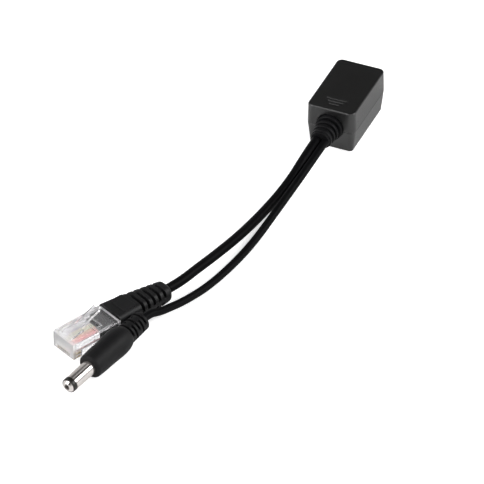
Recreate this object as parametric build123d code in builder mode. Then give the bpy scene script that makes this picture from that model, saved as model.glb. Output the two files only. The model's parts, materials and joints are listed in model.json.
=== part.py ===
from build123d import *
import math
import os

# Adapter lead: a housing with a network socket, a data lead that ends in a network plug,
# and a power lead that ends in a barrel plug.
# The origin is at the middle of the housing's floor. +Y runs along the housing, away from
# the leads, to the socket's mouth. +Z is up. Sizes are in millimetres.

# Housing
housing_width = 18.9
housing_length = 31.4
housing_height = 17.5
seam_height = 8.9
shell_wall = 1.3
floor_thickness = 1.4
roof_thickness = 1.4
base_inset = 1.0
top_inset = 0.15
corner_radius = 2.4
smallest_corner = 0.3
top_edge_radius = 0.6
floor_edge_radius = 0.4
seam_chamfer = 0.15
tongue_thickness = 0.55
tongue_height = 0.8
seam_clearance = 0.1
mark_lengths = [8.0, 6.0, 4.0]
mark_pitch = 1.6
mark_width = 0.6
mark_height = 0.15
mark_setback = 7.0
cutter_margin = 1.0
jack_seat_reach = 4.0
neck_reach = 4.3

# Circuit board
board_thickness = 1.0
board_height = 2.4
board_clearance = 0.1
board_corner = 0.8
board_peg_radius = 0.7
board_peg_inset = 1.5
peg_shoulder = 0.7
peg_setback = 0.2
hole_clearance = 0.1
tail_hole_clearance = 0.15

# Network socket
jack_side_room = 0.85
jack_depth = 17.0
jack_setback = 0.8
jack_fit = 0.15
jack_clearance = 0.2
jack_edge_radius = 0.3
jack_cheek = 1.325
port_height = 6.95
port_ceiling = 1.55
port_floor_share = 0.225
latch_slot_width = 6.3
latch_slot_share = 0.4
latch_notch_width = 3.4
latch_notch_share = 0.375
port_lip = 1.5
jack_roof = 0.7
jack_peg_radius = 1.5
jack_peg_x = 5.0
jack_peg_setback = 7.5
jack_peg_length = 1.6
mouth_chamfer = 0.4

# Contact carrier and its spring contacts
carrier_depth = 3.6
carrier_foot = 2.2
carrier_fit = 0.1
carrier_tongue_setback = 3.6
carrier_tongue_thickness = 0.8
contact_count = 8
contact_pitch = 1.016
contact_width = 0.4
contact_thickness = 0.35
contact_groove = 0.55
contact_groove_depth = 0.45
contact_row_spacing = 2.54
contact_bend = 0.4
contact_inset = 0.15
contact_lift = 0.05
contact_overhang = 0.5
contact_fold_drop = 0.9
contact_drop = 2.9
contact_end_gap = 0.6
contact_tail = 0.8

# Leads
data_diameter = 3.6
power_diameter = 2.9
data_exit_x = -1.3
power_exit_x = 2.0
exit_rise = 1.15
lead_corner_share = 0.45
core_diameter = 0.96
power_core_diameter = 1.2
core_exit_spread = 0.7
core_exit_rise = 0.75
core_sag = 0.8
near_pad_share = 0.3
far_pad_share = 0.6
core_straight_share = 0.12
core_upper_bend = 0.7
core_lower_bend = 1.1
first_data_pad_x = -3.6
second_data_pad_x = -1.6
power_pad_x = 2.6

# Strain relief on the housing
relief_base_radius = 5.2
relief_neck_radius = 3.6
relief_flange_radius = 4.6
relief_flange_thickness = 1.2
relief_core_radius = 3.5
relief_length = 9.3
relief_seat_depth = 0.55
relief_base_length = 1.5
relief_rings = [(2.5, 3.8, 4.6), (4.8, 6.1, 4.3), (7.1, 8.4, 4.0)]
ring_edge_radius = 0.3
ring_margin = 0.2

# Network plug
plug_x = -39.9
plug_y = -162.3
plug_floor = 0.8
plug_heading = 26.0
plug_width = 11.68
plug_length = 21.46
plug_height = 6.6
plug_edge_radius = 0.35
plug_rear_radius = 1.2
plug_cavity_width = 8.8
plug_cavity_height = 4.2
plug_cavity_floor = 0.9
plug_cavity_depth = 8.9
core_slot_clearance = 0.06
core_height = 2.5
core_start = 1.2
blade_thickness = 0.35
blade_slot = 0.55
blade_front = 0.7
blade_length = 3.6
blade_rise = 0.4
blade_slot_length = 4.8
blade_gap = 0.01
latch_thickness = 0.95
latch_root_width = 6.2
latch_tab_width = 3.3
latch_bend = 3.0
crimp_window_width = 6.6
crimp_window_length = 2.6
crimp_window_depth = 1.0
crimp_window_setback = 6.4

# The latch's middle line, as (distance from the plug's nose, height over the plug's top)
latch_root = [(0.9, -0.45), (2.4, 0.55), (7.0, 1.5)]
latch_end = (15.6, 5.125)

# Boot behind the network plug, as (distance behind the plug, width, bottom, top, corner)
boot_sections = [
    (0.0, 12.0, 0.0, 8.65, 2.2),
    (11.5, 10.4, 0.4, 8.15, 2.3),
    (24.0, 7.8, 0.8, 7.4, 2.6),
]
boot_tail = [
    boot_sections[-1],
    (25.0, 7.3, 1.0, 7.2, 2.5),
    (25.6, 6.1, 1.6, 6.6, 2.2),
]
boot_axis_height = 4.25
boot_tongue_clearance = 0.1
boot_slot_width = 1.3
boot_slot_pitch = 2.7
boot_slot_first = 11.1
boot_slot_count = 5
boot_core_radius = 2.4
boot_slot_top = 4.8
boot_slot_bottom = 3.5
boot_pad_start = 3.3
boot_pad_end = 8.6
boot_pad_width = 8.0
boot_pad_top = 8.78
boot_pad_depth = 2.0
boot_pad_corner = 0.5

# Power plug, by distance from the tip
tip_x = -28.97
tip_y = -182.43
tip_height = 4.0
power_plug_heading = 13.4
power_plug_pitch = 2.93
barrel_radius = 2.75
barrel_wall = 0.5
barrel_length = 12.45
barrel_root_gap = 0.15
barrel_neck_radius = 2.55
barrel_shank = 3.0
barrel_bore_radius = 1.05
contact_tube_wall = 0.3
insulator_ring_length = 1.8
ring_bevel_length = 0.3
ring_bevel_depth = 0.2
contact_cone_length = 0.7
contact_cone_radius = 2.3
contact_lip = 0.6
moulding_gap = 0.03
grip_radius = 4.85
grip_front_rounding = 1.0
grip_length = 18.8
shoulder_length = 1.5
power_relief_radius = 3.9
power_relief_length = 9.35
power_relief_tip_radius = 3.5
power_slot_width = 0.95
power_slot_pitch = 1.86
power_slot_count = 5
power_slot_core_radius = 2.1
power_slot_bridge = 1.1

# Outline of the grip, as (distance behind its front, radius)
grip_outline = [
    (grip_front_rounding, 4.6),
    (5.0, 4.8),
    (9.4, grip_radius),
    (17.8, 4.8),
    (19.2, 4.45),
    (20.3, power_relief_radius),
]

# Heights and places worked out from the sizes above
half_length = housing_length / 2
roof_height = housing_height - roof_thickness
exit_height = housing_height / 2 + exit_rise
inner_inset = shell_wall + base_inset + board_clearance
board_width = housing_width - 2 * inner_inset
board_length = housing_length - 2 * inner_inset
board_peg_x = board_width / 2 - board_peg_inset
board_peg_y = board_length / 2 - board_peg_inset
base_taper = math.degrees(math.atan(base_inset / seam_height))
top_taper = math.degrees(math.atan(top_inset / (housing_height - seam_height)))
board_top = board_height + board_thickness
jack_bottom = board_top
jack_top = roof_height - jack_clearance
jack_height = jack_top - jack_bottom
jack_width = housing_width - 2 * (shell_wall + jack_side_room)
port_width = jack_width - 2 * jack_cheek
channel_height = jack_height - port_height - port_ceiling
latch_slot_height = latch_slot_share * channel_height
latch_notch_height = latch_notch_share * channel_height
port_floor = port_floor_share * channel_height
jack_front = half_length - jack_setback
jack_rear = jack_front - jack_depth
port_bottom = jack_bottom + port_floor + latch_notch_height + latch_slot_height
port_top = port_bottom + port_height
carrier_rear = jack_rear + carrier_fit
carrier_front = jack_rear + carrier_depth
carrier_top = jack_top - jack_roof - carrier_fit
tongue_front = jack_front - carrier_tongue_setback
tongue_bottom = carrier_top - carrier_tongue_thickness
contact_top = carrier_top - contact_groove_depth + contact_thickness / 2 + contact_lift
contact_fold = tongue_front + contact_overhang
contact_rear = carrier_rear + contact_thickness / 2 + contact_inset
relief_face = -half_length + relief_seat_depth
relief_flange_front = -half_length + base_inset / 2 + shell_wall + seam_clearance
relief_flange_back = relief_flange_front + relief_flange_thickness
relief_end = -half_length - relief_length

contact_xs = [(i - (contact_count - 1) / 2) * contact_pitch for i in range(contact_count)]
board_pegs = [(sx * board_peg_x, sy * board_peg_y) for sx in (-1, 1) for sy in (-1, 1)]
jack_pegs = [(sx * jack_peg_x, jack_front - jack_peg_setback) for sx in (-1, 1)]

# Each inner core as (name, diameter, offset of its exit, height of its exit, pad place)
inner_room = jack_rear - relief_flange_back
core_straight = core_straight_share * inner_room
near_pads = relief_flange_back + near_pad_share * inner_room
far_pads = relief_flange_back + far_pad_share * inner_room
lower_exit = exit_height - core_exit_rise
upper_exit = exit_height + core_exit_rise
left_exit = data_exit_x - core_exit_spread
right_exit = data_exit_x + core_exit_spread
inner_cores = [
    ("data_core_1", core_diameter, left_exit, lower_exit, first_data_pad_x, near_pads),
    ("data_core_2", core_diameter, right_exit, lower_exit, second_data_pad_x, near_pads),
    ("data_core_3", core_diameter, left_exit, upper_exit, first_data_pad_x, far_pads),
    ("data_core_4", core_diameter, right_exit, upper_exit, second_data_pad_x, far_pads),
    ("power_core_positive", power_core_diameter, power_exit_x, lower_exit, power_pad_x, near_pads),
    ("power_core_negative", power_core_diameter, power_exit_x, upper_exit, power_pad_x, far_pads),
]

# Route of each lead, from the strain relief to its plug, chosen by hand
data_route = [
    (data_exit_x, relief_end, exit_height),
    (data_exit_x, -34.0, exit_height),
    (-2.85, -47.15, 5.4),
    (-5.8, -61.7, 2.3),
    (-8.5, -79.9, 2.7),
    (-11.55, -95.0, 3.7),
    (-13.75, -104.0, 4.25),
]
power_route = [
    (power_exit_x, relief_end, exit_height),
    (power_exit_x, -35.0, exit_height),
    (0.6, -48.0, 7.2),
    (-1.3, -62.2, 4.0),
    (-2.8, -78.3, 1.55),
    (-4.4, -93.35, 1.5),
    (-7.65, -109.3, 1.55),
    (-11.7, -121.1, 2.4),
    (-13.95, -126.8, 3.35),
    (-16.0, -132.7, 4.7),
]
data_straight_end = 6.0
power_straight_end = 4.5

# Planes of the two plugs: local X runs from the nose back to the lead
plug_cos = math.cos(math.radians(90 - plug_heading))
plug_sin = math.sin(math.radians(90 - plug_heading))
plug_plane = Plane(
    origin=(plug_x, plug_y, plug_floor), x_dir=(plug_cos, plug_sin, 0), z_dir=(0, 0, 1)
)
power_cos = math.cos(math.radians(90 - power_plug_heading))
power_sin = math.sin(math.radians(90 - power_plug_heading))
pitch_cos = math.cos(math.radians(power_plug_pitch))
pitch_sin = math.sin(math.radians(power_plug_pitch))
tip_plane = Plane(
    origin=(tip_x, tip_y, tip_height),
    x_dir=(pitch_cos * power_cos, pitch_cos * power_sin, pitch_sin),
    z_dir=(-pitch_sin * power_cos, -pitch_sin * power_sin, pitch_cos),
)
boot_length = boot_tail[-1][0]
boot_end = plug_plane.from_local_coords(
    (plug_length + boot_length, 0, boot_axis_height - plug_floor)
)
power_plug_length = barrel_length + grip_length + shoulder_length + power_relief_length
power_end = tip_plane.from_local_coords((power_plug_length, 0, 0))
data_route += [tuple(boot_end + plug_plane.x_dir * data_straight_end), tuple(boot_end)]
power_route += [tuple(power_end + tip_plane.x_dir * power_straight_end), tuple(power_end)]


def across(plane, along, height=0.0):
    """A plane square to the plug's axis, its X to the side and its Y up."""
    return Plane(
        origin=plane.from_local_coords((along, 0, height)),
        x_dir=-plane.y_dir,
        z_dir=-plane.x_dir,
    )


def upright(plane):
    """The upright plane through the plug's axis, its X along the axis and its Y up."""
    return Plane(origin=plane.origin, x_dir=plane.x_dir, z_dir=-plane.y_dir)


def corner_radii(points):
    """The arc at each corner: a share of the shorter run over the tangent of half the turn."""
    radii = []
    for before, here, after in zip(points, points[1:], points[2:]):
        run_in = Vector(*here) - Vector(*before)
        run_out = Vector(*after) - Vector(*here)
        half_turn = math.radians(run_in.get_angle(run_out) / 2)
        shorter_run = min(run_in.length, run_out.length)
        radii.append(lead_corner_share * shorter_run / math.tan(half_turn))
    return radii


def outline(inset):
    """Size of the housing's rounded outline at the seam, drawn in by inset."""
    radius = max(corner_radius - inset, smallest_corner)
    return housing_width - 2 * inset, housing_length - 2 * inset, radius


# The socket's mouth and the strain relief's seat, which cut through both shells
with BuildPart() as openings:
    with BuildSketch(Plane.XZ.offset(-half_length - cutter_margin)):
        with Locations((0, (jack_bottom + jack_top) / 2)):
            Rectangle(jack_width + 2 * jack_fit, jack_height + 2 * jack_fit)
    extrude(amount=cutter_margin + jack_setback + jack_seat_reach)
    with BuildSketch(Plane.XZ.offset(half_length + cutter_margin)):
        with Locations((0, exit_height)):
            Circle(relief_base_radius + jack_fit)
    extrude(amount=-(cutter_margin + relief_seat_depth))
    with BuildSketch(Plane.XZ.offset(half_length + cutter_margin)):
        with Locations((0, exit_height)):
            Circle(relief_neck_radius + hole_clearance)
    extrude(amount=-(cutter_margin + neck_reach))

# Housing base: floor, walls that lean out to the seam, tongue at the seam and board pegs
with BuildPart() as housing_base:
    width, length, radius = outline(0)
    with BuildSketch(Plane.XY.offset(seam_height)):
        RectangleRounded(width, length, radius)
    extrude(amount=-seam_height, taper=base_taper)
    fillet(housing_base.faces().sort_by(Axis.Z)[0].edges(), floor_edge_radius)
    chamfer(housing_base.faces().sort_by(Axis.Z)[-1].outer_wire().edges(), seam_chamfer)
    width, length, radius = outline(shell_wall)
    with BuildSketch(Plane.XY.offset(seam_height)):
        RectangleRounded(width, length, radius)
    extrude(amount=-(seam_height - floor_thickness), taper=base_taper, mode=Mode.SUBTRACT)
    with BuildSketch(Plane.XY.offset(seam_height)):
        outer_width, outer_length, outer_radius = outline(shell_wall - tongue_thickness)
        RectangleRounded(outer_width, outer_length, outer_radius)
        RectangleRounded(width, length, radius, mode=Mode.SUBTRACT)
    extrude(amount=tongue_height)
    with BuildSketch(Plane.XY.offset(floor_thickness)):
        with Locations(*board_pegs):
            Circle(board_peg_radius + peg_shoulder)
    extrude(amount=board_height - floor_thickness)
    with BuildSketch(Plane.XY.offset(floor_thickness)):
        with Locations(*board_pegs):
            Circle(board_peg_radius)
    extrude(amount=board_top - floor_thickness - peg_setback)
    add(openings.part, mode=Mode.SUBTRACT)
housing_base.part.label = "housing_base"

# Housing top: roof with soft edges, walls that lean in, groove for the tongue, three bars
with BuildPart() as housing_top:
    width, length, radius = outline(0)
    with BuildSketch(Plane.XY.offset(seam_height)):
        RectangleRounded(width, length, radius)
    extrude(amount=housing_height - seam_height, taper=top_taper)
    fillet(housing_top.faces().sort_by(Axis.Z)[-1].edges(), top_edge_radius)
    chamfer(housing_top.faces().sort_by(Axis.Z)[0].outer_wire().edges(), seam_chamfer)
    width, length, radius = outline(shell_wall)
    with BuildSketch(Plane.XY.offset(seam_height)):
        RectangleRounded(width, length, radius)
    extrude(amount=roof_height - seam_height, taper=top_taper, mode=Mode.SUBTRACT)
    groove = outline(shell_wall - tongue_thickness - seam_clearance)
    with BuildSketch(Plane.XY.offset(seam_height)):
        RectangleRounded(*groove)
    extrude(amount=tongue_height + seam_clearance, mode=Mode.SUBTRACT)
    for row, mark_length in enumerate(mark_lengths):
        with BuildSketch(Plane.XY.offset(housing_height)):
            with Locations((0, -half_length + mark_setback - row * mark_pitch)):
                SlotOverall(mark_length, mark_width)
        extrude(amount=mark_height)
    add(openings.part, mode=Mode.SUBTRACT)
housing_top.part.label = "housing_top"

# Circuit board with holes for the base's pegs, the socket's pegs, tails and cores
with BuildPart() as circuit_board:
    with BuildSketch(Plane.XY.offset(board_height)):
        RectangleRounded(board_width, board_length, board_corner)
        with Locations(*board_pegs):
            Circle(board_peg_radius + hole_clearance, mode=Mode.SUBTRACT)
        with Locations(*jack_pegs):
            Circle(jack_peg_radius + hole_clearance, mode=Mode.SUBTRACT)
        for i, x in enumerate(contact_xs):
            with Locations((x, contact_rear + (i % 2) * contact_row_spacing)):
                Circle(contact_width / 2 + tail_hole_clearance, mode=Mode.SUBTRACT)
        for name, diameter, exit_x, exit_z, pad_x, pad_y in inner_cores:
            with Locations((pad_x, pad_y)):
                Circle(diameter / 2 + hole_clearance, mode=Mode.SUBTRACT)
    extrude(amount=board_thickness)
circuit_board.part.label = "circuit_board"

# Socket body: a block with the plug's cavity, the latch channel under it, an open rear
# for the contact carrier and two pegs through the board
with BuildPart() as jack_body:
    with BuildSketch(Plane.XZ.offset(-jack_front)):
        with Locations((0, (jack_bottom + jack_top) / 2)):
            Rectangle(jack_width, jack_height)
    extrude(amount=jack_depth)
    fillet(jack_body.edges().filter_by(Axis.Y), jack_edge_radius)
    with BuildSketch(Plane.XZ.offset(-jack_front)):
        with Locations((0, (port_bottom + port_top) / 2)):
            Rectangle(port_width, port_height)
        with Locations((0, port_bottom)):
            Rectangle(latch_slot_width, latch_slot_height, align=(Align.CENTER, Align.MAX))
        with Locations((0, port_bottom - latch_slot_height)):
            Rectangle(latch_notch_width, latch_notch_height, align=(Align.CENTER, Align.MAX))
    extrude(amount=jack_depth - carrier_depth, mode=Mode.SUBTRACT)
    chamfer(
        jack_body.faces().sort_by(Axis.Y)[-1].inner_wires().edges().filter_by(Axis.X)
        .sort_by(Axis.Z)[-1],
        mouth_chamfer,
    )
    with BuildSketch(Plane.XZ.offset(-jack_rear)):
        with Locations((0, port_bottom)):
            Rectangle(
                port_width,
                jack_top - jack_roof - port_bottom,
                align=(Align.CENTER, Align.MIN),
            )
    extrude(amount=-(jack_depth - port_lip), mode=Mode.SUBTRACT)
    with BuildSketch(Plane.XZ.offset(-jack_rear)):
        with Locations((0, jack_bottom)):
            Rectangle(
                port_width,
                jack_top - jack_roof - jack_bottom,
                align=(Align.CENTER, Align.MIN),
            )
    extrude(amount=-carrier_depth, mode=Mode.SUBTRACT)
    with BuildSketch(Plane.XY.offset(jack_bottom)):
        with Locations(*jack_pegs):
            Circle(jack_peg_radius)
    extrude(amount=-jack_peg_length)
jack_body.part.label = "jack_body"

# Contact carrier: a block that closes the socket's rear and a tongue along its ceiling,
# with one groove for each contact over the top and down the rear
with BuildPart() as contact_carrier:
    half_carrier = port_width / 2 - carrier_fit
    with BuildSketch(Plane.YZ.offset(-half_carrier)):
        with BuildLine():
            Polyline(
                (carrier_rear, jack_bottom + carrier_foot),
                (carrier_front - carrier_fit, jack_bottom + carrier_foot),
                (carrier_front - carrier_fit, tongue_bottom),
                (tongue_front, tongue_bottom),
                (tongue_front, carrier_top),
                (carrier_rear, carrier_top),
                close=True,
            )
        make_face()
    extrude(amount=2 * half_carrier)
    for x in contact_xs:
        with BuildSketch(Plane.YZ.offset(x - contact_groove / 2)):
            with Locations((carrier_rear, carrier_top)):
                Rectangle(
                    tongue_front - carrier_rear,
                    contact_groove_depth,
                    align=(Align.MIN, Align.MAX),
                )
                Rectangle(
                    contact_thickness + 2 * contact_inset,
                    carrier_top - jack_bottom,
                    align=(Align.MIN, Align.MAX),
                )
        extrude(amount=contact_groove, mode=Mode.SUBTRACT)
contact_carrier.part.label = "contact_carrier"

# Spring contacts: each rises from the board, runs forward over the carrier's tongue,
# folds round its front and slants back into the plug's cavity
with BuildPart() as jack_contacts:
    for i, x in enumerate(contact_xs):
        row_shift = (i % 2) * contact_row_spacing
        jog_height = jack_bottom + carrier_foot / 2
        tail_end = board_height - contact_tail
        riser = [(contact_rear, tail_end)]
        if row_shift > 0:
            riser = [
                (contact_rear + row_shift, tail_end),
                (contact_rear + row_shift, jog_height),
                (contact_rear, jog_height),
            ]
        with BuildSketch(Plane.YZ.offset(x - contact_width / 2)):
            with BuildLine():
                path = FilletPolyline(
                    *riser,
                    (contact_rear, contact_top),
                    (contact_fold, contact_top),
                    (contact_fold, contact_top - contact_fold_drop),
                    (carrier_front + contact_end_gap, contact_top - contact_drop),
                    radius=contact_bend,
                )
            trace(path, contact_thickness)
        extrude(amount=contact_width)
jack_contacts.part.label = "jack_contacts"

# Strain relief: inner flange, neck through the wall, base and three rings, in one moulding
with BuildPart() as strain_relief:
    with BuildSketch(Plane.YZ):
        with BuildLine():
            rings = []
            for start, end, ring_radius in relief_rings:
                rings += [
                    (-half_length - start, relief_core_radius),
                    (-half_length - start, ring_radius),
                    (-half_length - end, ring_radius),
                    (-half_length - end, relief_core_radius),
                ]
            Polyline(
                (relief_flange_back, 0),
                (relief_flange_back, relief_flange_radius),
                (relief_flange_front, relief_flange_radius),
                (relief_flange_front, relief_neck_radius),
                (relief_face, relief_neck_radius),
                (relief_face, relief_base_radius),
                (-half_length - relief_base_length, relief_base_radius),
                (-half_length - relief_base_length, relief_core_radius),
                *rings,
                (relief_end, relief_core_radius),
                (relief_end, 0),
                close=True,
            )
        make_face()
    revolve(axis=Axis.Y)
    ring_edges = strain_relief.edges().filter_by(GeomType.CIRCLE).filter_by(
        lambda edge: edge.center().Y < relief_face - ring_margin
        and edge.radius > relief_core_radius + ring_margin
    )
    fillet(ring_edges, ring_edge_radius)
strain_relief.part.move(Location((0, 0, exit_height)))
strain_relief.part.label = "strain_relief"

# Inner cores: out of the strain relief, over and down through the board
pieces = []
for name, diameter, exit_x, exit_z, pad_x, pad_y in inner_cores:
    with BuildPart() as core:
        with BuildLine():
            path = FilletPolyline(
                (exit_x, relief_flange_back, exit_z),
                (exit_x, relief_flange_back + core_straight, exit_z),
                (pad_x, pad_y, exit_z - core_sag),
                (pad_x, pad_y, board_height - contact_tail),
                radius=[core_upper_bend * diameter, core_lower_bend * diameter],
            )
        with BuildSketch(Plane(origin=path @ 0, z_dir=path % 0)):
            Circle(diameter / 2)
        sweep()
    core.part.label = name
    pieces.append(core)


def lead(points, diameter, name):
    """A round lead along straight runs joined by tangent arcs."""
    radii = corner_radii(points)
    with BuildPart() as tube:
        with BuildLine():
            path = FilletPolyline(*points, radius=radii)
        with BuildSketch(Plane(origin=path @ 0, z_dir=path % 0)):
            Circle(diameter / 2)
        sweep()
    tube.part.label = name
    section = math.pi * diameter ** 2 / 4
    print(name, "radii", [round(r, 1) for r in radii], "length", round(path.length, 2))
    print(name, "volume over section", round(tube.part.volume / section, 2))
    return tube


data_lead = lead(data_route, data_diameter, "data_lead")
power_lead = lead(power_route, power_diameter, "power_lead")

# Network plug: clear body with cavity, core slot, blade slots and spring latch
plug_axis = Axis(plug_plane.origin, plug_plane.x_dir)
cavity_front = plug_length - plug_cavity_depth
with BuildPart() as plug_body:
    with BuildSketch(plug_plane):
        plan = Rectangle(plug_length, plug_width, align=(Align.MIN, Align.CENTER))
        fillet(plan.vertices().sort_by(plug_axis)[-2:], plug_rear_radius)
    extrude(amount=plug_height)
    fillet(plug_body.edges().filter_by(plug_axis), plug_edge_radius)
    with BuildSketch(across(plug_plane, plug_length)):
        with Locations((0, plug_cavity_floor)):
            Rectangle(plug_cavity_width, plug_cavity_height, align=(Align.CENTER, Align.MIN))
    extrude(amount=plug_cavity_depth, mode=Mode.SUBTRACT)
    with BuildSketch(across(plug_plane, cavity_front)):
        with Locations((0, core_height)):
            Rectangle(
                contact_count * contact_pitch + 2 * core_slot_clearance,
                core_diameter + 2 * core_slot_clearance,
            )
    extrude(amount=cavity_front - core_start + core_slot_clearance, mode=Mode.SUBTRACT)
    for x in contact_xs:
        with BuildSketch(plug_plane):
            with Locations((0, x)):
                Rectangle(blade_slot_length, blade_slot, align=(Align.MIN, Align.CENTER))
        extrude(amount=core_height - core_diameter / 2, mode=Mode.SUBTRACT)
    with BuildSketch(plug_plane.offset(plug_height)):
        with Locations((plug_length - crimp_window_setback - crimp_window_length / 2, 0)):
            Rectangle(crimp_window_length, crimp_window_width)
    extrude(amount=-crimp_window_depth, mode=Mode.SUBTRACT)
    for latch_points, latch_width in (
        (latch_root, latch_root_width),
        ([*latch_root, latch_end], latch_tab_width),
    ):
        with BuildSketch(upright(plug_plane.offset(plug_height))):
            with BuildLine():
                latch_line = FilletPolyline(*latch_points, radius=latch_bend)
            trace(latch_line, latch_thickness)
        extrude(amount=latch_width / 2, both=True)
plug_body.part.label = "plug_body"

# Contact blades, one in each slot, that stand on the cores from below
with BuildPart() as plug_contacts:
    for x in contact_xs:
        with BuildSketch(plug_plane.offset(blade_rise)):
            with Locations((blade_front, x)):
                Rectangle(blade_length, blade_thickness, align=(Align.MIN, Align.CENTER))
        extrude(amount=core_height - core_diameter / 2 - blade_rise - blade_gap)
plug_contacts.part.label = "plug_contacts"

# Coloured cores inside the plug, from its nose to the boot's tongue
tongue_tip = cavity_front + boot_tongue_clearance
for i, x in enumerate(contact_xs):
    with BuildPart() as plug_core:
        with BuildSketch(across(plug_plane, tongue_tip)):
            with Locations((-x, core_height)):
                Circle(core_diameter / 2)
        extrude(amount=tongue_tip - core_start)
    plug_core.part.label = f"plug_core_{i + 1}"
    pieces.append(plug_core)

# Boot: lofted moulding with a tongue in the plug, a raised pad and staggered slots
upper_slots = [boot_slot_first + k * boot_slot_pitch for k in range(boot_slot_count)]
lower_slots = [along + boot_slot_pitch / 2 for along in upper_slots[:-1]]
with BuildPart() as data_boot:
    for sections in (boot_sections, boot_tail):
        for along, width, bottom, top, corner in sections:
            with BuildSketch(across(plug_plane, plug_length + along, -plug_floor)):
                with Locations((0, (bottom + top) / 2)):
                    RectangleRounded(width, top - bottom, corner)
        loft()
    with BuildSketch(plug_plane.offset(boot_pad_top - plug_floor - boot_pad_depth)):
        with Locations((plug_length + (boot_pad_start + boot_pad_end) / 2, 0)):
            RectangleRounded(boot_pad_end - boot_pad_start, boot_pad_width, boot_pad_corner)
    extrude(amount=boot_pad_depth)
    for slots, cut_height, side in (
        (upper_slots, boot_slot_top, Align.MIN),
        (lower_slots, boot_slot_bottom, Align.MAX),
    ):
        for along in slots:
            slot_back = plug_length + along + boot_slot_width / 2
            with BuildSketch(across(plug_plane, slot_back, -plug_floor)):
                with Locations((0, cut_height)):
                    Rectangle(2 * plug_width, plug_width, align=(Align.CENTER, side))
                with Locations((0, boot_axis_height)):
                    Circle(boot_core_radius, mode=Mode.SUBTRACT)
            extrude(amount=boot_slot_width, mode=Mode.SUBTRACT)
    with BuildSketch(across(plug_plane, plug_length)):
        with Locations((0, plug_cavity_floor + plug_cavity_height / 2)):
            Rectangle(
                plug_cavity_width - 2 * boot_tongue_clearance,
                plug_cavity_height - 2 * boot_tongue_clearance,
            )
    extrude(amount=plug_cavity_depth - boot_tongue_clearance)
data_boot.part.label = "data_boot"

# Power plug grip and its slotted relief, one moulding turned about the plug's axis
grip_front = barrel_length
grip_back = grip_front + grip_length
relief_start = grip_back + shoulder_length
grip_points = [(grip_front + along, radius) for along, radius in grip_outline]
with BuildPart() as power_plug_grip:
    with BuildSketch(upright(tip_plane)):
        with BuildLine():
            front_rim = Line((grip_front, 0), (grip_front, grip_points[0][1] - grip_front_rounding))
            RadiusArc(front_rim @ 1, grip_points[0], grip_front_rounding)
            Spline(*grip_points)
            relief_line = Line(grip_points[-1], (power_plug_length, power_relief_tip_radius))
            Polyline(relief_line @ 1, (power_plug_length, 0), (grip_front, 0))
        make_face()
    revolve(axis=Axis(tip_plane.origin, tip_plane.x_dir))
    with BuildSketch(across(tip_plane, 0)):
        Circle(barrel_neck_radius + moulding_gap)
    extrude(amount=-(barrel_length + barrel_shank + moulding_gap), mode=Mode.SUBTRACT)
    for k in range(power_slot_count):
        along = relief_start + k * power_slot_pitch
        turn = 90 * (k % 2)
        with BuildSketch(across(tip_plane, along + power_slot_width)):
            Circle(2 * grip_radius)
            Circle(power_slot_core_radius, mode=Mode.SUBTRACT)
            Rectangle(4 * grip_radius, 2 * power_slot_bridge, rotation=turn, mode=Mode.SUBTRACT)
        extrude(amount=power_slot_width, mode=Mode.SUBTRACT)
power_plug_grip.part.label = "power_plug_grip"

# Barrel of the power plug: sleeve, insulator with its ring at the tip, and contact tube
tube_outer = barrel_bore_radius + contact_tube_wall
sleeve_inner = barrel_radius - barrel_wall
sleeve_start = contact_cone_length + insulator_ring_length
barrel_back = barrel_length + barrel_shank
barrel_root = barrel_length - barrel_root_gap
with BuildPart() as barrel_sleeve:
    with BuildSketch(upright(tip_plane)):
        with BuildLine():
            Polyline(
                (sleeve_start, sleeve_inner),
                (sleeve_start, barrel_radius),
                (barrel_root, barrel_radius),
                (barrel_root, barrel_neck_radius),
                (barrel_back, barrel_neck_radius),
                (barrel_back, sleeve_inner),
                close=True,
            )
        make_face()
    revolve(axis=Axis(tip_plane.origin, tip_plane.x_dir))
barrel_sleeve.part.label = "barrel_sleeve"

with BuildPart() as barrel_insulator:
    with BuildSketch(upright(tip_plane)):
        with BuildLine():
            Polyline(
                (contact_cone_length, tube_outer + moulding_gap),
                (contact_cone_length, barrel_radius - ring_bevel_depth),
                (contact_cone_length + ring_bevel_length, barrel_radius),
                (sleeve_start, barrel_radius),
                (sleeve_start, sleeve_inner - moulding_gap),
                (barrel_back, sleeve_inner - moulding_gap),
                (barrel_back, tube_outer + moulding_gap),
                close=True,
            )
        make_face()
    revolve(axis=Axis(tip_plane.origin, tip_plane.x_dir))
barrel_insulator.part.label = "barrel_insulator"

with BuildPart() as barrel_contact:
    with BuildSketch(upright(tip_plane)):
        with BuildLine():
            Polyline(
                (0, barrel_bore_radius),
                (0, barrel_bore_radius + contact_lip),
                (contact_cone_length, contact_cone_radius),
                (contact_cone_length, tube_outer),
                (barrel_back, tube_outer),
                (barrel_back, barrel_bore_radius),
                close=True,
            )
        make_face()
    revolve(axis=Axis(tip_plane.origin, tip_plane.x_dir))
barrel_contact.part.label = "barrel_contact"

os.makedirs("parts", exist_ok=True)
for piece in [
    *pieces,
    housing_base,
    housing_top,
    circuit_board,
    jack_body,
    contact_carrier,
    jack_contacts,
    strain_relief,
    data_lead,
    power_lead,
    plug_body,
    plug_contacts,
    data_boot,
    power_plug_grip,
    barrel_sleeve,
    barrel_insulator,
    barrel_contact,
]:
    export_step(piece.part, f"parts/{piece.part.label}.step")
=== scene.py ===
import json

import bpy
import numpy as np
from bpy.props import FloatProperty, FloatVectorProperty, PointerProperty
from mathutils import Matrix, Vector


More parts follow.
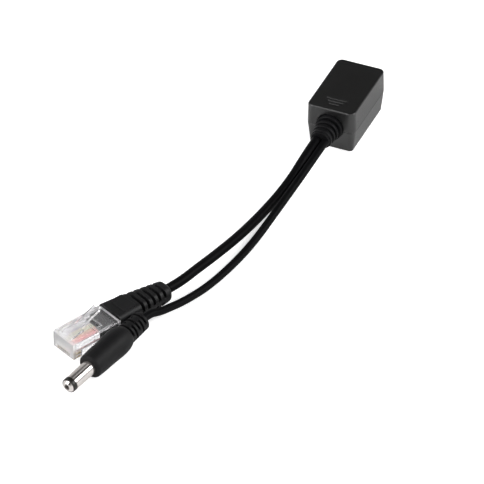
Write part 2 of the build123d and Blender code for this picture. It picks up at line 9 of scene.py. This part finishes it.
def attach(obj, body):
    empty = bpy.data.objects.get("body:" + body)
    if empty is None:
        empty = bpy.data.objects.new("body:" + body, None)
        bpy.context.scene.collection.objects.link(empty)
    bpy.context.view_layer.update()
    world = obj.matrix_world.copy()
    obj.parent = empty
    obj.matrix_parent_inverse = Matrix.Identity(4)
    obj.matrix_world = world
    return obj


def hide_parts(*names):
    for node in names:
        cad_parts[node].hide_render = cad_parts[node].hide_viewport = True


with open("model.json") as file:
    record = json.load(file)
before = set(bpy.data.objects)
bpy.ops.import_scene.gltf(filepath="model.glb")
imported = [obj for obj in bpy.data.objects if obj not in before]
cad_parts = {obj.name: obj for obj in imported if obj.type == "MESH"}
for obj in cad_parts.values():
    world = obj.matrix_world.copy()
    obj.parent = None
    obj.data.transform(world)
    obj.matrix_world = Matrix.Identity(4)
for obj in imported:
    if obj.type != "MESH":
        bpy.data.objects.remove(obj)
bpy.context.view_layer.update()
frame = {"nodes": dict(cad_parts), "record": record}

bl_info = {
    "name": "Splitter lead",
    "version": (1, 0, 0),
    "blender": (4, 5, 0),
    "location": "3D View > Sidebar > Splitter lead",
    "description": "Dresses a network splitter lead with its finishes, leads and stage",
    "category": "Object",
}

NODES = frame["nodes"]
RECORD = frame["record"]

# From the record: the colour of each material slot, and the slot of each node
SLOT_COLOURS = {material["slot"]: material["base_color"][:3] for material in RECORD["materials"]}
NODE_SLOTS = {part["node"]: part["material_slot"] for part in RECORD["subparts"]}

PLUG_CORES = tuple(f"plug_core_{i}" for i in range(1, 9))
INNER_CORES = tuple(node for node in NODES if node.startswith(("data_core", "power_core")))
DATA_LEAD_PIECES = ("plug_body", "plug_contacts", "data_boot", *PLUG_CORES, "strain_relief")
POWER_LEAD_PIECES = ("power_plug_grip", "barrel_sleeve", "barrel_insulator", "barrel_contact")

# Routes of the two leads from the strain relief to their plugs, in metres
DATA_ROUTE = [
    (-0.0013, -0.0250, 0.0099),
    (-0.0013, -0.0340, 0.0099),
    (-0.00285, -0.04715, 0.0054),
    (-0.0058, -0.0617, 0.0023),
    (-0.0085, -0.0799, 0.0027),
    (-0.01155, -0.0950, 0.0037),
    (-0.01375, -0.1040, 0.00425),
    (-0.01664, -0.11461, 0.00425),
    (-0.01927, -0.12000, 0.00425),
]
POWER_ROUTE = [
    (0.0020, -0.0250, 0.0099),
    (0.0020, -0.0350, 0.0099),
    (0.0006, -0.0480, 0.0072),
    (-0.0013, -0.0622, 0.0040),
    (-0.0028, -0.0783, 0.00155),
    (-0.0044, -0.09335, 0.0015),
    (-0.00765, -0.1093, 0.00155),
    (-0.0117, -0.1211, 0.0024),
    (-0.01395, -0.1268, 0.00335),
    (-0.0160, -0.1327, 0.0047),
    (-0.018185, -0.137158, 0.006382),
    (-0.019226, -0.14153, 0.006152),
]

# The clear plug: places in metres behind its nose, and how see-through it is there
HAZE_START = 0.0002         # the nose is milky up to here
HAZE_END = 0.0050           # and the body is clear from here on
RIM_HIGHLIGHT_START = 0.02090         # the milky band along the rear rim begins, a painted highlight of the rim
RIM_HIGHLIGHT_END = 0.02125
NOSE_CLEARNESS = 0.68
BODY_CLEARNESS = 0.98
RIM_HIGHLIGHT_CLEARNESS = 0.25        # share of the body's clearness that the painted rim highlight keeps

INSULATION_PALENESS = 0.35  # how far the cores' colours go to white
SOFT_EDGE = 0.0003          # rounding of a moulding's edges in metres

# The room's brightness over the height of the direction looked in, 0 level and 1 straight up
ROOM_SHADES = ((0.02, 0.95), (0.30, 0.58), (0.45, 0.02))

# How strongly the floor glows for each kind of ray, on top of the light that falls on it
FLOOR_GLOW = (("Is Camera Ray", 0.62), ("Is Transmission Ray", 0.36), ("Is Glossy Ray", 0.15))
FLOOR_REACH = 4.0
FLOOR_DROP = 0.00005        # keeps the floor clear of the faces that stand on it

# The square lamps: name, place, side in metres and power in watts
LAMPS = (
    ("key", (1.08, 0.40, 0.84), 0.6, 12.0),
    ("front", (0.9, -0.7, 1.0), 1.2, 10.0),
    ("fill", (-0.9, -0.9, 1.0), 1.2, 24.0),
)
OBJECT_MIDDLE = Vector((-0.015, -0.08, 0.0))

# The strip lamp over the power plug's barrel
STRIP_PLACE = Vector((-0.115, 0.094, 0.275))
STRIP_RUN = Vector((0.331, -0.090, 0.192))
STRIP_SIZE = (0.36, 0.06)
STRIP_POWER = 0.045
BARREL_PLACE = Vector((-0.035, -0.178, 0.006))


def colour(name, description, default):
    """A colour property, linear RGB."""
    return FloatVectorProperty(
        name=name, description=description, subtype="COLOR", size=3, min=0, max=1, default=default
    )


def length(name, description, default):
    """A length property in metres."""
    return FloatProperty(
        name=name,
        description=description,
        subtype="DISTANCE",
        unit="LENGTH",
        min=0,
        default=default,
    )


class SplitterSizes(bpy.types.PropertyGroup):
    """Sizes that the dressing uses."""

    data_diameter: length("Data lead", "Outside diameter of the data lead", 0.0036)
    power_diameter: length("Power lead", "Outside diameter of the power lead", 0.0029)


class SplitterFinish(bpy.types.PropertyGroup):
    """Colours of the finishes."""

    housing: colour("Housing", "Matte black of the housing shells", (0.003, 0.003, 0.003))
    moulding: colour("Mouldings", "Satin black of boot, relief and grip", (0.005, 0.005, 0.0055))
    jacket: colour("Jackets", "Black of the two leads", (0.003, 0.003, 0.0034))
    socket: colour("Socket", "Black of the socket and its carrier", (0.012, 0.012, 0.012))
    clear: colour("Clear plug", "Tint of the clear plug", (0.93, 0.925, 0.935))
    nickel: colour("Nickel", "Plate of the barrel", (0.66, 0.62, 0.60))
    gold: colour("Gold", "Plate of the contacts", (0.86, 0.62, 0.26))
    insulator: colour("Insulator", "Dark plastic at the tip", (0.008, 0.007, 0.006))
    board: colour("Board", "Lacquer of the circuit board", (0.02, 0.13, 0.06))


class SplitterView(bpy.types.PropertyGroup):
    """The camera, where the photograph was taken from."""

    place: FloatVectorProperty(
        name="Place",
        description="Where the camera stands",
        subtype="TRANSLATION",
        unit="LENGTH",
        size=3,
        default=(0.568121, -1.427302, 1.144282),
    )
    aim: FloatVectorProperty(
        name="Aim",
        description="The direction in which the camera looks",
        subtype="DIRECTION",
        size=3,
        default=(-0.3096, 0.7249, -0.6154),
    )
    lens: FloatProperty(
        name="Lens",
        description="Focal length for a 36 mm sensor, in millimetres",
        subtype="DISTANCE_CAMERA",
        unit="CAMERA",
        default=387.07,
    )


def sizes():
    """The size properties of the scene."""
    return bpy.context.scene.splitter_sizes


def finishes():
    """The colour properties of the scene."""
    return bpy.context.scene.splitter_finish


def shaded(shade, factor):
    """That colour made darker or lighter by a factor."""
    return [channel * factor for channel in shade]


class NodeKit:
    """Short ways to add nodes and links to a node tree."""

    def __init__(self, tree):
        self.tree = tree

    def add(self, kind, inputs=None, **settings):
        """A node of that kind, with its settings and its unlinked sockets' values."""
        node = self.tree.nodes.new(kind)
        for key, value in settings.items():
            setattr(node, key, value)
        for key, value in (inputs or {}).items():
            node.inputs[key].default_value = value
        return node

    def join(self, source, target):
        """A link from one socket to another."""
        self.tree.links.new(source, target)

    def combine(self, operation, first, second):
        """Two values combined by that operation of the Math node."""
        node = self.add("ShaderNodeMath", operation=operation)
        self.join(first, node.inputs[0])
        self.join(second, node.inputs[1])
        return node.outputs["Value"]

    def ramp(self, fac, stops):
        """A colour ramp over fac, its stops given as (place, colour)."""
        node = self.add("ShaderNodeValToRGB")
        elements = node.color_ramp.elements
        while len(elements) < len(stops):
            elements.new(0.5)
        for element, (place, shade) in zip(elements, stops):
            element.position = place
            element.color = (*shade, 1.0)
        self.join(fac, node.inputs["Fac"])
        return node.outputs["Color"]


class Shader(NodeKit):
    """A new material and its Principled shader."""

    def __init__(self, name):
        self.material = bpy.data.materials.new(name)
        self.material.use_nodes = True
        super().__init__(self.material.node_tree)
        self.sockets = self.tree.nodes["Principled BSDF"].inputs

    def put(self, **values):
        """Constants on the shader's own sockets, by name with underscores for spaces."""
        for key, value in values.items():
            self.sockets[key.replace("_", " ")].default_value = value

    def place(self):
        """The object's own coordinates."""
        return self.add("ShaderNodeTexCoord").outputs["Object"]

    def noise(self, scale, detail=3.0, roughness=0.5):
        """Fractal noise, scale in cells per metre."""
        node = self.add(
            "ShaderNodeTexNoise", {"Scale": scale, "Detail": detail, "Roughness": roughness}
        )
        self.join(self.place(), node.inputs["Vector"])
        return node.outputs["Fac"]

    def tint(self, pattern, stops):
        """A base colour that follows a pattern from 0 to 1."""
        self.join(self.ramp(pattern, stops), self.sockets["Base Color"])

    def span(self, value, low, high, start=0.0, end=1.0, **settings):
        """A value that runs from start to end, carried to low to high and held beyond."""
        node = self.add(
            "ShaderNodeMapRange",
            {"From Min": start, "From Max": end, "To Min": low, "To Max": high},
            **settings,
        )
        self.join(value, node.inputs["Value"])
        return node.outputs["Result"]

    def bump(self, height, distance, edge=0.0):
        """A bump of that height field, distance in metres, over edges rounded by edge."""
        node = self.add("ShaderNodeBump", {"Distance": distance})
        self.join(height, node.inputs["Height"])
        if edge > 0:
            rounded = self.add("ShaderNodeBevel", {"Radius": edge}, samples=4)
            self.join(rounded.outputs["Normal"], node.inputs["Normal"])
        self.join(node.outputs["Normal"], self.sockets["Normal"])


def black_plastic(name, shade, *, roughness, grain, depth, gloss=0.5, edge=0.0, uneven=0.05):
    """Moulded black plastic: fine sparked grain, a little uneven in gloss and tone.

    grain is in cells per metre, depth and edge are in metres, and uneven is how far the
    roughness strays to each side.
    """
    shader = Shader(name)
    shader.put(Specular_IOR_Level=gloss)
    broad = shader.noise(scale=90.0)
    shader.tint(broad, [(0.3, shaded(shade, 0.8)), (0.7, shaded(shade, 1.25))])
    shader.join(
        shader.span(broad, roughness - uneven, roughness + uneven), shader.sockets["Roughness"]
    )
    shader.bump(shader.noise(grain, detail=4.0, roughness=0.6), depth, edge)
    return shader.material


def clear_plastic():
    """Clear polycarbonate with faint flow marks, milky at its nose, and milky along its rear rim as
    a painted highlight.

    The distance behind the nose is the dot product of the object's coordinates with the
    plug's axis, less that of the nose itself.
    """
    shader = Shader("clear polycarbonate")
    shade = finishes().clear
    flow = shader.noise(scale=260.0, detail=2.0)
    shader.tint(flow, [(0.35, shaded(shade, 0.97)), (0.65, shade)])
    shader.join(shader.span(flow, low=0.07, high=0.16), shader.sockets["Roughness"])
    shader.put(IOR=1.42)
    nose = next(mount for mount in RECORD["mounts"] if mount["name"] == "network_plug")
    inward = -Vector(nose["axis"])
    start = inward.dot(Vector(nose["pos_m"]))
    along = shader.add("ShaderNodeVectorMath", {1: inward}, operation="DOT_PRODUCT")
    shader.join(shader.place(), along.inputs[0])
    haze = shader.span(
        along.outputs["Value"],
        NOSE_CLEARNESS,
        BODY_CLEARNESS,
        start + HAZE_START,
        start + HAZE_END,
        interpolation_type="SMOOTHSTEP",
    )
    # painted highlight: a milky band at the rear rim, so the rim renders pale like a lit edge
    painted_rim_highlight = shader.span(
        along.outputs["Value"], 1.0, RIM_HIGHLIGHT_CLEARNESS, start + RIM_HIGHLIGHT_START, start + RIM_HIGHLIGHT_END
    )
    shader.join(shader.combine("MULTIPLY", haze, painted_rim_highlight), shader.sockets["Transmission Weight"])
    shader.bump(flow, distance=0.00012)
    return shader.material


def plated(name, shade, *, roughness, grain):
    """Plated metal: fine brushing, in cells per metre, and a little unevenness in gloss."""
    shader = Shader(name)
    brushing = shader.noise(grain)
    shader.tint(brushing, [(0.3, shaded(shade, 0.92)), (0.7, shade)])
    shader.put(Metallic=0.86)
    shader.join(
        shader.span(brushing, roughness * 0.8, roughness * 1.25), shader.sockets["Roughness"]
    )
    shader.bump(brushing, distance=0.000003)
    return shader.material


def insulation(name, shade):
    """Extruded core insulation: smooth, pale and faintly mottled."""
    shader = Shader(name)
    pale = [channel + INSULATION_PALENESS * (1.0 - channel) for channel in shade]
    mottle = shader.noise(scale=900.0, detail=2.0)
    shader.tint(mottle, [(0.3, shaded(pale, 0.9)), (0.7, pale)])
    shader.put(Roughness=0.35)
    shader.bump(mottle, distance=0.000006)
    return shader.material


def lacquered_board():
    """Circuit board: green lacquer over a faint glass weave."""
    shader = Shader("lacquered board")
    shade = finishes().board
    weave = shader.add("ShaderNodeTexWave", {"Scale": 900.0, "Distortion": 1.5})
    shader.join(shader.place(), weave.inputs["Vector"])
    shader.tint(weave.outputs["Fac"], [(0.2, shaded(shade, 0.8)), (0.8, shade)])
    shader.put(Roughness=0.3)
    shader.bump(weave.outputs["Fac"], distance=0.000004)
    return shader.material


def dress(node, material):
    """Give a carried-over node that material in all its slots."""
    mesh = NODES[node].data
    mesh.materials.clear()
    mesh.materials.append(material)


def dress_cores(cores):
    """Give each core insulation in the colour that the record holds for it."""
    for node in cores:
        dress(node, insulation(f"{node} insulation", SLOT_COLOURS[NODE_SLOTS[node]]))


def route_curve(name, points, diameter):
    """A round lead: one NURBS spline of order 3 with the route's points as control points."""
    curve = bpy.data.curves.new(name, "CURVE")
    curve.dimensions = "3D"
    curve.resolution_u = 16
    curve.bevel_depth = diameter / 2
    curve.bevel_resolution = 10
    curve.use_fill_caps = True
    spline = curve.splines.new("NURBS")
    spline.points.add(len(points) - 1)
    spline.points.foreach_set("co", [c for p in points for c in (*p, 1.0)])
    spline.order_u = 3
    spline.use_endpoint_u = True
    lead = bpy.data.objects.new(name, curve)
    bpy.context.scene.collection.objects.link(lead)
    return lead


def route_length(points):
    """Length of a route's spline: the sum of the steps along it, from a curve with no bevel."""
    probe = route_curve("route_probe", points, 0.0)
    mesh = bpy.data.meshes.new_from_object(probe)
    co = np.empty(len(mesh.vertices) * 3)
    mesh.vertices.foreach_get("co", co)
    steps = np.diff(co.reshape(-1, 3), axis=0)
    bpy.data.meshes.remove(mesh)
    curve = probe.data
    bpy.data.objects.remove(probe)
    bpy.data.curves.remove(curve)
    return float(np.linalg.norm(steps, axis=1).sum())


class SplitterOperator(bpy.types.Operator):
    """Shared settings of the operators."""

    bl_options = {"REGISTER", "UNDO"}


class SPLITTER_OT_stage(SplitterOperator):
    """Floor, world, lamps and the camera at the photograph's place"""

    bl_idname = "splitter.stage"
    bl_label = "Stage and camera"

    def execute(self, context):
        self.camera(context)
        self.floor(context)
        self.world(context)
        self.lamps(context)
        self.strip(context)
        context.scene.view_settings.view_transform = "Standard"
        return {"FINISHED"}

    def camera(self, context):
        """A camera that stands and looks where the photograph was taken from."""
        view = context.scene.splitter_view
        data = bpy.data.cameras.new("camera")
        data.sensor_width = 36.0
        data.lens = view.lens
        data.clip_start = 0.05
        data.clip_end = 50.0
        camera = bpy.data.objects.new("camera", data)
        camera.location = view.place
        camera.rotation_euler = Vector(view.aim).to_track_quat("-Z", "Y").to_euler()
        context.scene.collection.objects.link(camera)
        context.scene.camera = camera

    def floor(self, context):
        """A pale floor that the camera, metal and glass see as near white, with its shadows."""
        mesh = bpy.data.meshes.new("floor")
        corners = ((-1, -1), (1, -1), (1, 1), (-1, 1))
        mesh.from_pydata(
            [(x * FLOOR_REACH, y * FLOOR_REACH, -FLOOR_DROP) for x, y in corners],
            [],
            [(0, 1, 2, 3)],
        )
        floor = bpy.data.objects.new("floor", mesh)
        context.scene.collection.objects.link(floor)
        shader = Shader("pale floor")
        shader.put(Base_Color=(0.8, 0.8, 0.8, 1.0), Roughness=0.9, Specular_IOR_Level=0.0)
        rays = shader.add("ShaderNodeLightPath").outputs
        glow, *others = (shader.span(rays[ray], 0.0, strength) for ray, strength in FLOOR_GLOW)
        for other in others:
            glow = shader.combine("MAXIMUM", glow, other)
        shader.put(Emission_Color=(1.0, 1.0, 1.0, 1.0))
        shader.join(glow, shader.sockets["Emission Strength"])
        mesh.materials.append(shader.material)

    def world(self, context):
        """A room, pale at the horizon and dark above, that the camera and glass see as white."""
        world = bpy.data.worlds.new("room")
        world.use_nodes = True
        context.scene.world = world
        kit = NodeKit(world.node_tree)
        room = kit.tree.nodes["Background"]
        room.inputs["Strength"].default_value = 1.0
        direction = kit.add("ShaderNodeTexCoord").outputs["Generated"]
        split = kit.add("ShaderNodeSeparateXYZ")
        kit.join(direction, split.inputs["Vector"])
        shades = kit.ramp(split.outputs["Z"], [(z, (shade,) * 3) for z, shade in ROOM_SHADES])
        kit.join(shades, room.inputs["Color"])
        white = kit.add(
            "ShaderNodeBackground", {"Color": (1.0, 1.0, 1.0, 1.0), "Strength": 1.0}
        )
        rays = kit.add("ShaderNodeLightPath").outputs
        seen = kit.combine("MAXIMUM", rays["Is Camera Ray"], rays["Is Transmission Ray"])
        mix = kit.add("ShaderNodeMixShader")
        kit.join(seen, mix.inputs["Fac"])
        kit.join(room.outputs["Background"], mix.inputs[1])
        kit.join(white.outputs["Background"], mix.inputs[2])
        kit.join(mix.outputs["Shader"], kit.tree.nodes["World Output"].inputs["Surface"])

    def lamp(self, context, name, place, turn, size, power):
        """An area lamp of that size, its two sides in metres, turned by those angles."""
        data = bpy.data.lights.new(name, "AREA")
        data.shape = "RECTANGLE"
        data.size, data.size_y = size
        data.energy = power
        lamp = bpy.data.objects.new(name, data)
        lamp.location = place
        lamp.rotation_euler = turn
        context.scene.collection.objects.link(lamp)

    def lamps(self, context):
        """Soft lamps: a key at the right rear, one at the right front, a fill at the left."""
        for name, place, side, power in LAMPS:
            aim = OBJECT_MIDDLE - Vector(place)
            turn = aim.to_track_quat("-Z", "Y").to_euler()
            self.lamp(context, name, place, turn, (side, side), power)

    def strip(self, context):
        """A weak narrow strip above and behind the plugs, which the barrel mirrors."""
        back = (STRIP_PLACE - BARREL_PLACE).normalized()
        across = back.cross(STRIP_RUN).normalized()
        turn = Matrix((across.cross(back), across, back)).transposed().to_euler()
        self.lamp(context, "strip", STRIP_PLACE, turn, STRIP_SIZE, STRIP_POWER)


class SPLITTER_OT_leads(SplitterOperator):
    """The two black leads, each one smooth spline along its route"""

    bl_idname = "splitter.leads"
    bl_label = "Leads"

    def execute(self, context):
        jacket = black_plastic(
            "lead jacket",
            finishes().jacket,
            roughness=0.42,
            grain=5200.0,
            depth=0.000012,
            gloss=0.04,
        )
        self.lead(
            "data_cord", "data_lead", DATA_ROUTE, sizes().data_diameter, "medium",
            DATA_LEAD_PIECES, jacket,
        )
        self.lead(
            "power_cord", "power_lead", POWER_ROUTE, sizes().power_diameter, "limp",
            POWER_LEAD_PIECES, jacket,
        )
        return {"FINISHED"}

    def lead(self, name, node, route, diameter, stiffness, pieces, jacket):
        lead = route_curve(name, route, diameter)
        lead.data.materials.append(jacket)
        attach(lead, "root")
        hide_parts(node)
        route_length(route)


class SPLITTER_OT_housing(SplitterOperator):
    """Matte black finish of the two housing shells"""

    bl_idname = "splitter.housing"
    bl_label = "Housing"

    def execute(self, context):
        shell = black_plastic(
            "housing plastic",
            finishes().housing,
            roughness=0.345,
            grain=4200.0,
            depth=0.00003,
            gloss=0.70,
            edge=SOFT_EDGE,
            uneven=0.012,
        )
        dress("housing_top", shell)
        dress("housing_base", shell)
        return {"FINISHED"}


class SPLITTER_OT_relief(SplitterOperator):
    """Finish of the ringed strain relief on the housing"""

    bl_idname = "splitter.relief"
    bl_label = "Strain relief"

    def execute(self, context):
        moulding = black_plastic(
            "relief moulding",
            finishes().moulding,
            roughness=0.45,
            grain=3600.0,
            depth=0.00002,
            gloss=0.12,
            edge=0.0002,
        )
        dress("strain_relief", moulding)
        return {"FINISHED"}


class SPLITTER_OT_socket(SplitterOperator):
    """Finishes of the socket, its contacts, the board and the inner cores"""

    bl_idname = "splitter.socket"
    bl_label = "Socket and inner pieces"

    def execute(self, context):
        block = black_plastic(
            "socket plastic", finishes().socket, roughness=0.35, grain=3000.0, depth=0.00001
        )
        dress("jack_body", block)
        dress("contact_carrier", block)
        dress("jack_contacts", plated("gold plate", finishes().gold, roughness=0.22, grain=4000.0))
        dress("circuit_board", lacquered_board())
        dress_cores(INNER_CORES)
        return {"FINISHED"}


class SPLITTER_OT_network_plug(SplitterOperator):
    """Clear body, gold blades and coloured cores of the network plug, and its boot"""

    bl_idname = "splitter.network_plug"
    bl_label = "Network plug"

    def execute(self, context):
        dress("plug_body", clear_plastic())
        dress("plug_contacts", plated("blade plate", finishes().gold, roughness=0.25, grain=4000.0))
        dress_cores(PLUG_CORES)
        boot = black_plastic(
            "boot moulding",
            finishes().moulding,
            roughness=0.50,
            grain=3600.0,
            depth=0.00002,
            gloss=0.25,
            edge=SOFT_EDGE,
        )
        dress("data_boot", boot)
        return {"FINISHED"}


class SPLITTER_OT_power_plug(SplitterOperator):
    """Grip, barrel, insulator and contact tube of the power plug"""

    bl_idname = "splitter.power_plug"
    bl_label = "Power plug"

    def execute(self, context):
        grip = black_plastic(
            "grip moulding",
            finishes().moulding,
            roughness=0.55,
            grain=3600.0,
            depth=0.00002,
            gloss=0.17,
            edge=SOFT_EDGE,
        )
        dress("power_plug_grip", grip)
        nickel = plated("nickel plate", finishes().nickel, roughness=0.10, grain=3000.0)
        dress("barrel_sleeve", nickel)
        dress("barrel_contact", nickel)
        insulator = black_plastic(
            "insulator plastic",
            finishes().insulator,
            roughness=0.35,
            grain=3000.0,
            depth=0.000005,
            gloss=0.3,
        )
        dress("barrel_insulator", insulator)
        return {"FINISHED"}


OPERATORS = (
    SPLITTER_OT_stage,
    SPLITTER_OT_leads,
    SPLITTER_OT_housing,
    SPLITTER_OT_relief,
    SPLITTER_OT_socket,
    SPLITTER_OT_network_plug,
    SPLITTER_OT_power_plug,
)
GROUPS = {
    "splitter_sizes": SplitterSizes,
    "splitter_finish": SplitterFinish,
    "splitter_view": SplitterView,
}


class SPLITTER_PT_panel(bpy.types.Panel):
    """Lists the sizes, colours, camera and operators of the splitter lead"""

    bl_idname = "SPLITTER_PT_panel"
    bl_label = "Splitter lead"
    bl_space_type = "VIEW_3D"
    bl_region_type = "UI"
    bl_category = "Splitter lead"

    def draw(self, context):
        layout = self.layout
        for name, group in GROUPS.items():
            for key in group.__annotations__:
                layout.prop(getattr(context.scene, name), key)
        for operator in OPERATORS:
            layout.operator(operator.bl_idname)


def register():
    """Register the classes and hang the property groups on the scene."""
    for cls in (*GROUPS.values(), *OPERATORS, SPLITTER_PT_panel):
        bpy.utils.register_class(cls)
    for name, group in GROUPS.items():
        setattr(bpy.types.Scene, name, PointerProperty(type=group))


def unregister():
    """Take the property groups and classes away again."""
    for name in GROUPS:
        delattr(bpy.types.Scene, name)
    for cls in (SPLITTER_PT_panel, *reversed(OPERATORS), *GROUPS.values()):
        bpy.utils.unregister_class(cls)


def main():
    register()
    for operator in OPERATORS:
        group, action = operator.bl_idname.split(".")
        result = getattr(getattr(bpy.ops, group), action)()
        if "FINISHED" not in result:
            raise RuntimeError(f"{operator.bl_idname} did not finish")


if __name__ == "__main__":
    main()
